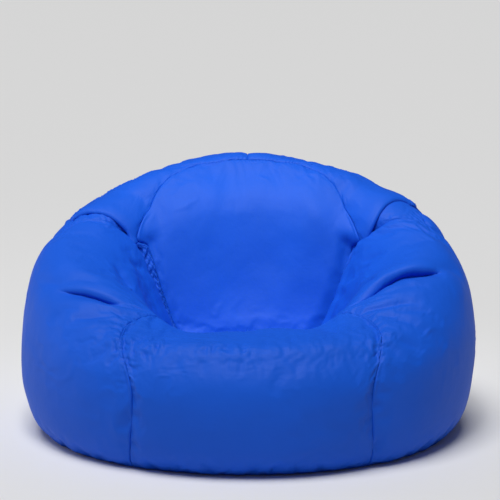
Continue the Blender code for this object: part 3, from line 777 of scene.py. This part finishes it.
def build_seat(grid, points, normals, material):
    """The seat panel: rings that close in on the middle of the seat."""
    rings = points[grid.row_at(SEAT_ROW) :, ::4]
    below = rings - CLOTH * normals[grid.row_at(SEAT_ROW) :, ::4]
    count, wide = rings.shape[:2]
    size = count * wide
    index = np.arange(size).reshape(count, wide)
    upper = ring_faces(index) + [index[-1].tolist()]
    lower = [[k + size for k in face[::-1]] for face in upper]
    edge, after = index[0], np.roll(index[0], -1)
    rim = np.stack([edge, edge + size, after + size, after], axis=-1).tolist()
    vertices = np.concatenate([rings.reshape(-1, 3), below.reshape(-1, 3)])
    seat = add_mesh("seat_cloth", vertices, upper + lower + rim, material)
    return place(seat, "seat_panel", "cover_fabric")


def inner_layer(grid, push, inset, floor=0.0):
    """The cover's shape without its wrinkles, moved inwards and lifted clear of the base."""
    points = grid.smooth + (push - inset)[..., None] * grid.normal
    lift = max(0.0, floor - inset) * np.clip(1 - grid.grid_rows / BULGE_ROW, 0, 1)
    points[..., 2] = np.maximum(points[..., 2], inset) + lift
    return points


def build_liner(grid, push, material):
    """The liner's bowl: side, rim and seat in one skin."""
    layers = []
    for inset in (LINER_INSET, LINER_INSET + LINER_CLOTH):
        layers.append(inner_layer(grid, push, inset, LINER_FLOOR)[::3, ::4])
    stacked = np.concatenate([layers[0], layers[1][::-1]])
    rows, wide = stacked.shape[:2]
    index = np.arange(rows * wide).reshape(rows, wide)
    outer, inner = index[: rows // 2], index[rows // 2 :]
    faces = ring_faces(outer) + ring_faces(inner) + ring_faces(index[[-1, 0]])
    faces += [outer[-1].tolist(), inner[0][::-1].tolist()]
    place(add_mesh("liner_bowl", stacked, faces, material), "liner_shell", "liner_fabric")


def build_filling(grid, push, material):
    """Bead filling in the five stretches of the CAD part."""
    top = inner_layer(grid, push, FILL_INSET, FILL_FLOOR)
    low = top.copy()
    away = top[..., :2] - (0, SEAT_Y)
    distance = np.linalg.norm(away, axis=-1, keepdims=True)
    low[..., :2] = away * np.minimum(1, distance[:1] / distance) + (0, SEAT_Y)
    low[..., 2] = FILL_FLOOR
    low[0, :, 2] = np.minimum(low[0, :, 2], top[0, :, 2] - 0.0002)
    angles = grid.angles[0] % 360
    last = grid.row_at(SEAT_ROW)
    stretches = (
        ("front", -FILL_SPLIT, FILL_SPLIT),
        ("right_arm", FILL_SPLIT, SHOULDER_SEAM),
        ("back", SHOULDER_SEAM, 360 - SHOULDER_SEAM),
        ("left_arm", 360 - SHOULDER_SEAM, 360 - FILL_SPLIT),
    )
    for word, first, end in stretches:
        start = int(np.argmin(abs((angles - first + 180) % 360 - 180)))
        stop = int(np.argmin(abs((angles - end + 180) % 360 - 180)))
        stop += 2 * grid.half if stop < start else 0
        picked = np.arange(start + 1, stop, 3) % (2 * grid.half)
        part = np.ix_(np.arange(0, last - 1, 3), picked)
        fill = slab(f"beads_{word}", top[part], low[part], material)
        place(fill, f"bead_fill_{word}", "polystyrene_beads")
    bowl, flat = top[last + 1 :: 3, ::6], low[last + 1 :: 3, ::6]
    bowl, flat = (np.concatenate([g, g[:, :1]], axis=1) for g in (bowl, flat))
    place(slab("beads_seat", bowl, flat, material), "bead_fill_seat", "polystyrene_beads")


def build_elastics(grid, push, material):
    """Elastic under each gathered strip."""
    rows = np.arange(grid.row_at(WAIST_ROW) + 1, grid.row_at(SEAT_ROW))
    for side, word in ((1, "right"), (-1, "left")):
        first, last = sorted((grid.column(2, side), grid.column(3, side)))
        share = (last - first) // 5
        part = np.ix_(rows, np.arange(first + share, last - share, 4))
        outer, inner = (inner_layer(grid, push, inset)[part] for inset in ELASTIC_INSETS)
        band = slab(f"{word}_elastic_band", outer, inner, material)
        place(band, f"{word}_back_elastic", "white_elastic")


def build_base(prefix, inset, floor, zip_y, zip_length, material, slot):
    """The two halves of a base, each with a folded hem beside the zip."""
    turn = np.linspace(-math.pi / 2, math.pi / 2, 241)
    for side, word in ((-1, "front"), (1, "rear")):
        half_depth = BASE_DEPTH / 2 - inset
        widest = (BASE_WIDTH / 2 - inset) * math.sqrt(1 - (zip_y / half_depth) ** 2)
        x = widest * np.sin(turn)
        rim = half_depth * np.sqrt(np.maximum(0, 1 - (x / (BASE_WIDTH / 2 - inset)) ** 2))
        edge = zip_y + side * np.where(np.abs(x) < zip_length / 2, SLOT_WIDTH, SEAM_GAP) / 2
        share = np.concatenate([np.linspace(0, 0.012, 4)[:-1], np.linspace(0.012, 1, 64)])
        y = edge[:, None] + (side * np.maximum(side * (side * rim - edge), 1e-4))[:, None] * share
        x = np.broadcast_to(x[:, None], y.shape)
        flat = np.stack([x, y, 0 * x], axis=-1)
        inner = smoothstep(0, 0.03, (widest - np.abs(x))) * smoothstep(1, 0.9, share)[None, :]
        low = floor + 0.0002 + inner * 0.0007 * (1 + noise(flat, 0.03, 91 + side)) * 0.5
        from_edge = side * (y - zip_y) - SLOT_WIDTH / 2
        hem = (np.abs(x) < zip_length / 2) * smoothstep(HEM_WIDTH + 0.002, HEM_WIDTH, from_edge)
        high = mix(low + CLOTH, floor + ZIP_HEIGHT - TAPE_THICKNESS / 2 - TOUCH_GAP - 0.0002, hem)
        top = np.stack([x, y, high], axis=-1)
        bottom = np.stack([x, y, low], axis=-1)
        if side > 0:
            top, bottom = top[::-1], bottom[::-1]
        panel = slab(f"{prefix}_{word}_cloth", top.swapaxes(0, 1), bottom.swapaxes(0, 1), material)
        place(panel, f"{prefix}_{word}", slot)


def topstitch(name, zip_y, zip_length, material):
    """Two rows of thread along the hems of a base, each stitch a short raised loop."""
    turn = np.linspace(0, 2 * math.pi, THREAD_SIDES + 1)[:-1]
    share = np.linspace(0, 1, 6)[:, None]
    thick = THREAD_RADIUS * np.sin(math.pi * (0.08 + 0.84 * share)) ** 0.5
    height, margin = 0.0003, 0.004
    index = np.arange(share.size * THREAD_SIDES).reshape(share.size, THREAD_SIDES)
    vertices, faces = [], []
    for side in (-1, 1):
        y = zip_y + side * (SLOT_WIDTH / 2 + 0.7 * HEM_WIDTH)
        for x in np.arange(-zip_length / 2 + margin, zip_length / 2 - margin, STITCH_PITCH):
            stitch = index + len(vertices) * index.size
            faces += ring_faces(stitch) + [stitch[0][::-1].tolist(), stitch[-1].tolist()]
            along = x + STITCH_LENGTH * share + 0 * turn
            loop = (along, y + thick * np.cos(turn), height + thick * np.sin(turn))
            vertices.append(np.stack(loop, axis=-1).reshape(-1, 3))
    piece = add_mesh(name, np.concatenate(vertices), faces, material)
    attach(piece, "chair")


def build_coil(prefix, y, height, length, side, word, material):
    """Half of the zip: a nylon coil whose loops reach between the loops of the other half."""
    chain = length - 2 * (STOP_LENGTH + TOUCH_GAP) - 0.001
    t = np.arange(int(chain / COIL_PITCH) * COIL_STEPS + 1) / COIL_STEPS
    turn = 2 * math.pi * (t + (0.5 if side > 0 else 0))
    near = COIL_WIRE - COIL_OVERLAP
    far = CHAIN_SPLIT / 2 + CHAIN_HALF_WIDTH - COIL_WIRE
    across = (near + far) / 2 + (far - near) / 2 * np.cos(turn)
    up = (CHAIN_HEIGHT / 2 - COIL_WIRE) * np.sin(turn)
    centre = np.stack([-chain / 2 + t * COIL_PITCH, y + side * across, height + up], axis=-1)
    ahead = np.gradient(centre, axis=0)
    ahead /= np.linalg.norm(ahead, axis=1, keepdims=True)
    first = np.cross(ahead, (1.0, 0.0, 0.0))
    first /= np.linalg.norm(first, axis=1, keepdims=True)
    second = np.cross(ahead, first)
    around = 2 * math.pi * np.arange(COIL_SIDES)[None, :, None] / COIL_SIDES
    wire = np.cos(around) * first[:, None] + np.sin(around) * second[:, None]
    rings = centre[:, None] + COIL_WIRE * wire
    index = np.arange(len(t) * COIL_SIDES).reshape(len(t), COIL_SIDES)
    faces = ring_faces(index) + [index[0][::-1].tolist(), index[-1].tolist()]
    coil = add_mesh(f"{prefix}_{word}_loops", rings, faces, material)
    place(coil, f"{prefix}_coil_{word}", "zip_coil")


def build_zips(nodes, coil, tape, metal):
    """Coils are built here; tapes, stops and sliders keep their shape and get their material."""
    for prefix, y, floor, length in (
        ("cover_zip", COVER_ZIP_Y, 0, COVER_ZIP_LENGTH),
        ("liner_zip", LINER_ZIP_Y, LINER_FLOOR, LINER_ZIP_LENGTH),
    ):
        for side, word in ((-1, "front"), (1, "rear")):
            build_coil(prefix, y, floor + ZIP_HEIGHT, length, side, word, coil)
            give_material(nodes[f"{prefix}_tape_{word}"], tape)
        for word in ("stop_left", "stop_right", "slider"):
            give_material(nodes[f"{prefix}_{word}"], metal)


def give_material(node, material):
    node.data.materials.clear()
    node.data.materials.append(material)


def place(piece, node, slot, body="chair"):
    """The piece stands for a CAD node, which it hides, and moves with its body."""
    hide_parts(node)
    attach(piece, body)
    return piece


# ---- materials ----


def new_material(name, colour, roughness, metallic=0.0):
    material = bpy.data.materials.new(name)
    material.use_nodes = True
    shader = material.node_tree.nodes["Principled BSDF"]
    shader.inputs["Base Color"].default_value = (*colour, 1)
    shader.inputs["Roughness"].default_value = roughness
    shader.inputs["Metallic"].default_value = metallic
    return material, shader


def join(output, socket):
    output.id_data.links.new(output, socket)


def add_node(material, kind, **settings):
    node = material.node_tree.nodes.new(kind)
    for key, value in settings.items():
        if key in node.inputs:
            node.inputs[key].default_value = value
        else:
            setattr(node, key, value)
    return node


def shifting_colour(material, shader, colour, scale, spread=0.10):
    """A colour that drifts a little from place to place."""
    place = add_node(material, "ShaderNodeTexCoord")
    tone = add_node(material, "ShaderNodeTexNoise", Scale=scale, Detail=3.0)
    join(place.outputs["Object"], tone.inputs["Vector"])
    ramp = add_node(material, "ShaderNodeMix", data_type="RGBA")
    ramp.inputs[6].default_value = (*((1 - spread) * c for c in colour), 1)
    ramp.inputs[7].default_value = (*((1 + 0.8 * spread) * c for c in colour), 1)
    join(tone.outputs["Fac"], ramp.inputs[0])
    join(ramp.outputs[2], shader.inputs["Base Color"])
    return place


def add_bump(material, source, strength, distance, under=None):
    bump = add_node(material, "ShaderNodeBump", Strength=strength, Distance=distance)
    join(source, bump.inputs["Height"])
    if under is not None:
        join(under, bump.inputs["Normal"])
    return bump.outputs["Normal"]


def woven_fabric(name, colour, roughness, sheen, slub=1.0):
    """Close-woven cloth: a fine weave, slight unevenness of the yarn, and a soft sheen."""
    material, shader = new_material(name, colour, roughness)
    place = shifting_colour(material, shader, colour, 9.0)
    normal = None
    for kind, scale, output, strength, distance in (
        ("ShaderNodeTexVoronoi", 900.0, "Distance", 0.14, 0.0003),
        ("ShaderNodeTexNoise", 260.0, "Fac", 0.20 * slub, 0.0006),
        ("ShaderNodeTexNoise", 75.0, "Fac", 0.22 * slub, 0.0020),
    ):
        texture = add_node(material, kind, Scale=scale)
        join(place.outputs["Object"], texture.inputs["Vector"])
        normal = add_bump(material, texture.outputs[output], strength, distance, normal)
    join(normal, shader.inputs["Normal"])
    shader.inputs["Sheen Weight"].default_value = sheen
    shader.inputs["Sheen Roughness"].default_value = 0.45
    shader.inputs["Sheen Tint"].default_value = (*(0.3 + 0.7 * c / max(colour) for c in colour), 1)
    shader.inputs["Specular IOR Level"].default_value = 0.20
    return material


def ribbed_tape(name, colour, pitch, strength):
    """Narrow woven tape or elastic with ribs across it."""
    material, shader = new_material(name, colour, 0.8)
    place = shifting_colour(material, shader, colour, 40.0)
    ribs = add_node(material, "ShaderNodeTexWave", Scale=0.5 / pitch, Distortion=0.6)
    ribs.bands_direction = "DIAGONAL"
    join(place.outputs["Object"], ribs.inputs["Vector"])
    weave = add_node(material, "ShaderNodeTexVoronoi", Scale=1600.0)
    join(place.outputs["Object"], weave.inputs["Vector"])
    normal = add_bump(material, weave.outputs["Distance"], 0.2, 0.0002)
    normal = add_bump(material, ribs.outputs["Fac"], strength, 0.0004, normal)
    join(normal, shader.inputs["Normal"])
    return material


def bead_foam(name):
    """Packed polystyrene beads of three to five millimetres, with painted shade in the gaps between
    them.
    """
    material, shader = new_material(name, BEAD_WHITE, 0.65)
    place = add_node(material, "ShaderNodeTexCoord")
    cells = add_node(material, "ShaderNodeTexVoronoi", Scale=240.0)
    join(place.outputs["Object"], cells.inputs["Vector"])
    # Painted shade: the colour darkens towards each bead's edge, where the gaps between the beads
    # lie in shadow
    ramp = add_node(material, "ShaderNodeValToRGB")
    for element, position, shade in zip(ramp.color_ramp.elements, (0.35, 0.75), (1, 0.62)):
        element.color = (*(shade * c for c in BEAD_WHITE), 1)
        element.position = position
    join(cells.outputs["Distance"], ramp.inputs["Fac"])
    join(ramp.outputs["Color"], shader.inputs["Base Color"])
    bump = add_node(material, "ShaderNodeBump", Strength=0.9, Distance=0.0020)
    bump.invert = True
    join(cells.outputs["Distance"], bump.inputs["Height"])
    join(bump.outputs["Normal"], shader.inputs["Normal"])
    return material


def nylon(name, colour):
    """Smooth nylon of the zip coils and the thread."""
    material, shader = new_material(name, colour, 0.35)
    shifting_colour(material, shader, colour, 60.0, 0.06)
    shader.inputs["Specular IOR Level"].default_value = 0.5
    return material


def plated_metal(name, colour):
    """Plated zinc with fine scuffs."""
    material, shader = new_material(name, colour, 0.3, metallic=1.0)
    place = shifting_colour(material, shader, colour, 300.0, 0.08)
    scuffs = add_node(material, "ShaderNodeTexNoise", Scale=900.0, Detail=6.0)
    join(place.outputs["Object"], scuffs.inputs["Vector"])
    wear = add_node(material, "ShaderNodeMapRange")
    wear.inputs["To Min"].default_value, wear.inputs["To Max"].default_value = 0.22, 0.45
    join(scuffs.outputs["Fac"], wear.inputs["Value"])
    join(wear.outputs["Result"], shader.inputs["Roughness"])
    join(add_bump(material, scuffs.outputs["Fac"], 0.15, 0.0001), shader.inputs["Normal"])
    return material


# ---- studio ----


def aim(obj, place, target):
    obj.location = place
    direction = np.array(target, float) - np.array(place, float)
    obj.rotation_euler = Vector(direction).to_track_quat("-Z", "Y").to_euler()


def add_light(name, kind, place, target, **settings):
    data = bpy.data.lights.new(name, kind)
    for key, value in settings.items():
        setattr(data, key, value)
    aim(add_object(name, data), place, target)


def build_studio():
    """A pale floor, a wide soft key light, a fill on the inner back and a rim light."""
    material, shader = new_material("studio_floor", FLOOR_GREY, 0.9)
    shader.inputs["Specular IOR Level"].default_value = 0.1
    corners = FLOOR_SIZE * np.array([(-1, -1, 0), (1, -1, 0), (1, 1, 0), (-1, 1, 0)])
    floor = add_mesh("studio_floor", corners, [[0, 1, 2, 3]], material, smooth=False)
    floor.location.z = -FLOOR_DROP
    floor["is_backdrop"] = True
    bpy.context.scene.view_settings.view_transform = "Standard"
    world = bpy.data.worlds.new("studio")
    world.use_nodes = True
    world.node_tree.nodes["Background"].inputs[0].default_value = (1, 1, 1, 1)
    world.node_tree.nodes["Background"].inputs[1].default_value = WORLD_LIGHT
    bpy.context.scene.world = world
    add_light("key", "SUN", (-0.14, -0.34, 1.0), (0, 0, 0), energy=2.6, angle=math.radians(34))
    soft = {"spot_size": math.radians(28), "spot_blend": 1.0, "shadow_soft_size": 0.25}
    add_light("front", "SPOT", (-0.1, -1.15, 2.2), (0, 0.12, 0.38), energy=95, **soft)
    wide = {"shape": "RECTANGLE", "size": 1.5, "size_y": 1.2}
    add_light("rim", "AREA", (-2.6, 0.6, 0.9), (0, 0, 0.3), energy=9, **wide)


def build_camera():
    data = bpy.data.cameras.new("camera")
    camera = add_object("camera", data)
    tilt = math.radians(CAMERA_TILT)
    back, up = CAMERA_AWAY * math.cos(tilt), CAMERA_AWAY * math.sin(tilt)
    aim(camera, (0, -back, CAMERA_HEIGHT + up), (0, 0, CAMERA_HEIGHT))
    data.lens = CAMERA_LENS
    data.shift_x, data.shift_y = CAMERA_SHIFT
    bpy.context.scene.camera = camera


def write_size(key, sizes):
    low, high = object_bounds()
    sizes[key] = [list(low), list(high)]


def main():
    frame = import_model()
    sizes = {}
    write_size("cad_m", sizes)
    cover = woven_fabric("cover_fabric", COVER_BLUE, 0.60, 0.03)
    white = woven_fabric("liner_fabric", LINER_WHITE, 0.85, 0.1, slub=1.6)
    elastic = ribbed_tape("white_elastic", ELASTIC_WHITE, 0.0016, 0.7)
    tape = ribbed_tape("zip_tape", ZIP_BLUE, 0.0012, 0.5)
    grid = Grid()
    points, push = shape_cover(grid)
    cover_pieces = build_cover(grid, points, cover)
    build_liner(grid, push, white)
    build_elastics(grid, push, elastic)
    build_filling(grid, push, bead_foam("polystyrene_beads"))
    build_base("base_panel", SEAM_GAP, 0, COVER_ZIP_Y, COVER_ZIP_LENGTH, cover, "cover_fabric")
    liner_zip = (LINER_ZIP_Y, LINER_ZIP_LENGTH)
    build_base("liner_base", LINER_BASE_INSET, LINER_FLOOR, *liner_zip, white, "liner_fabric")
    thread = nylon("cover_thread", THREAD_BLUE)
    topstitch("base_topstitch", COVER_ZIP_Y, COVER_ZIP_LENGTH, thread)
    coil = nylon("zip_coil", ZIP_BLUE)
    build_zips(frame["nodes"], coil, tape, plated_metal("zip_metal", ZIP_METAL))
    build_studio()
    build_camera()
    write_size("visual_m", sizes)


main()
